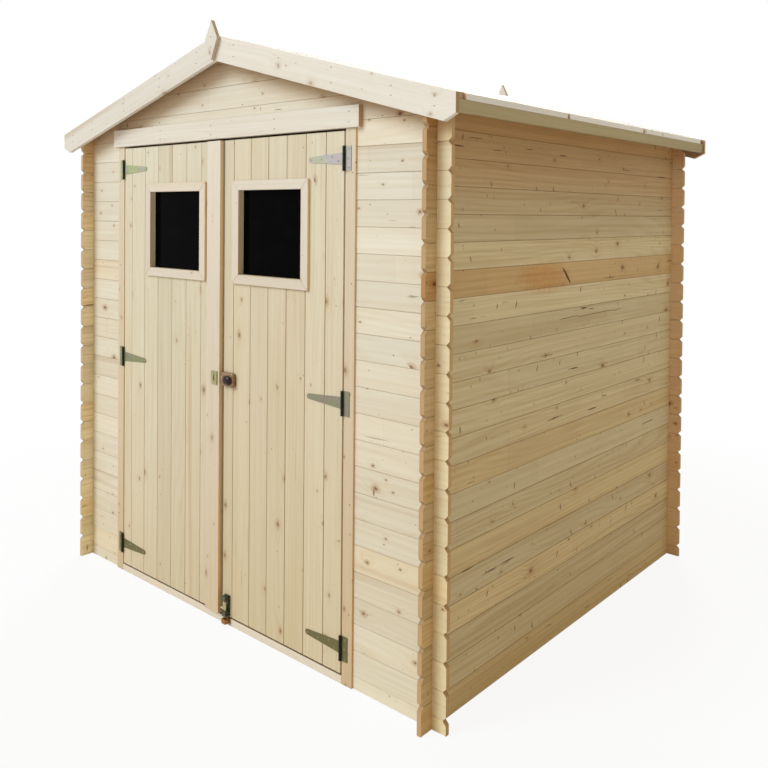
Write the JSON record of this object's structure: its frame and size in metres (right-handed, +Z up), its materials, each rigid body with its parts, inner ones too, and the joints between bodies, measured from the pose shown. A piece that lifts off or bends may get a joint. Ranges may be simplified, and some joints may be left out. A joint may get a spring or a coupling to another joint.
{
  "type": "wooden garden shed",
  "caption": "Small pine garden shed with crossed board walls, a shallow boarded gable roof and a pair of windowed doors that open outwards.",
  "frame": {"origin": "on the ground, in the middle of the plan", "axes": "+Z up, the doors face -Y, +X to the right of someone facing the doors"},
  "size_m": [2.194, 1.948, 2.251],
  "materials": {
    "wall_pine": "planed, weathered",
    "pale_pine": "planed, pale",
    "brown_pine": "planed, weathered",
    "zinc": "yellow zinc plated",
    "brass": "tarnished",
    "brown_enamel": "gloss enamel",
    "black_plastic": "gloss",
    "dark_glass": "clear pane over a dark room"
  },
  "bodies": {
    "shed": {"front_wall_left": "wall_pine", "front_wall_right": "wall_pine", "front_gable": "wall_pine", "back_wall": "wall_pine", "back_gable": "wall_pine", "left_wall": "wall_pine", "right_wall": "wall_pine", "door_sill": "pale_pine", "left_jamb": "pale_pine", "right_jamb": "pale_pine", "lintel_board": "pale_pine", "ridge_beam": "pale_pine", "left_roof_front": "pale_pine", "left_roof_middle": "pale_pine", "left_roof_back": "pale_pine", "right_roof_front": "pale_pine", "right_roof_middle": "pale_pine", "right_roof_back": "pale_pine", "left_fascia": "brown_pine", "right_fascia": "brown_pine", "left_eave_laths": "pale_pine", "right_eave_laths": "pale_pine", "front_left_bargeboard": "pale_pine", "front_right_bargeboard": "pale_pine", "back_left_bargeboard": "pale_pine", "back_right_bargeboard": "pale_pine", "front_finial": "pale_pine", "back_finial": "pale_pine", "left_hinge_plates": "zinc", "right_hinge_plates": "zinc", "bolt_keeper": "brass"},
    "left_leaf": {"left_door": "pale_pine", "left_door_ledges": "pale_pine", "meeting_strip": "pale_pine", "left_window_frame": "pale_pine", "left_window_pane": "dark_glass", "left_hinge_straps": "zinc", "lock_keeper": "zinc"},
    "right_leaf": {"right_door": "pale_pine", "right_door_ledges": "pale_pine", "right_window_frame": "pale_pine", "right_window_pane": "dark_glass", "right_hinge_straps": "zinc", "lock_case": "brown_enamel", "foot_bolt_plate": "zinc"},
    "lock_knob": {"turn_knob": "black_plastic"},
    "bolt_rod": {"foot_bolt": "zinc"}
  },
  "joints": [
    {"name": "left_door_hinge", "type": "hinge", "parent": "shed", "child": "left_leaf", "pos_m": [-0.6975, -0.9003, 0.927], "axis": [0, 0, -1], "range_deg": [0, 110]},
    {"name": "right_door_hinge", "type": "hinge", "parent": "shed", "child": "right_leaf", "pos_m": [0.6075, -0.9003, 0.927], "axis": [0, 0, 1], "range_deg": [0, 110]},
    {"name": "lock_turn", "type": "hinge", "parent": "right_leaf", "child": "lock_knob", "pos_m": [0.03, -0.912, 0.925], "axis": [0, 1, 0], "range_deg": [0, 90]},
    {"name": "foot_bolt_slide", "type": "slide", "parent": "right_leaf", "child": "bolt_rod", "axis": [0, 0, 1], "range_m": [0, 0.02]}
  ]
}
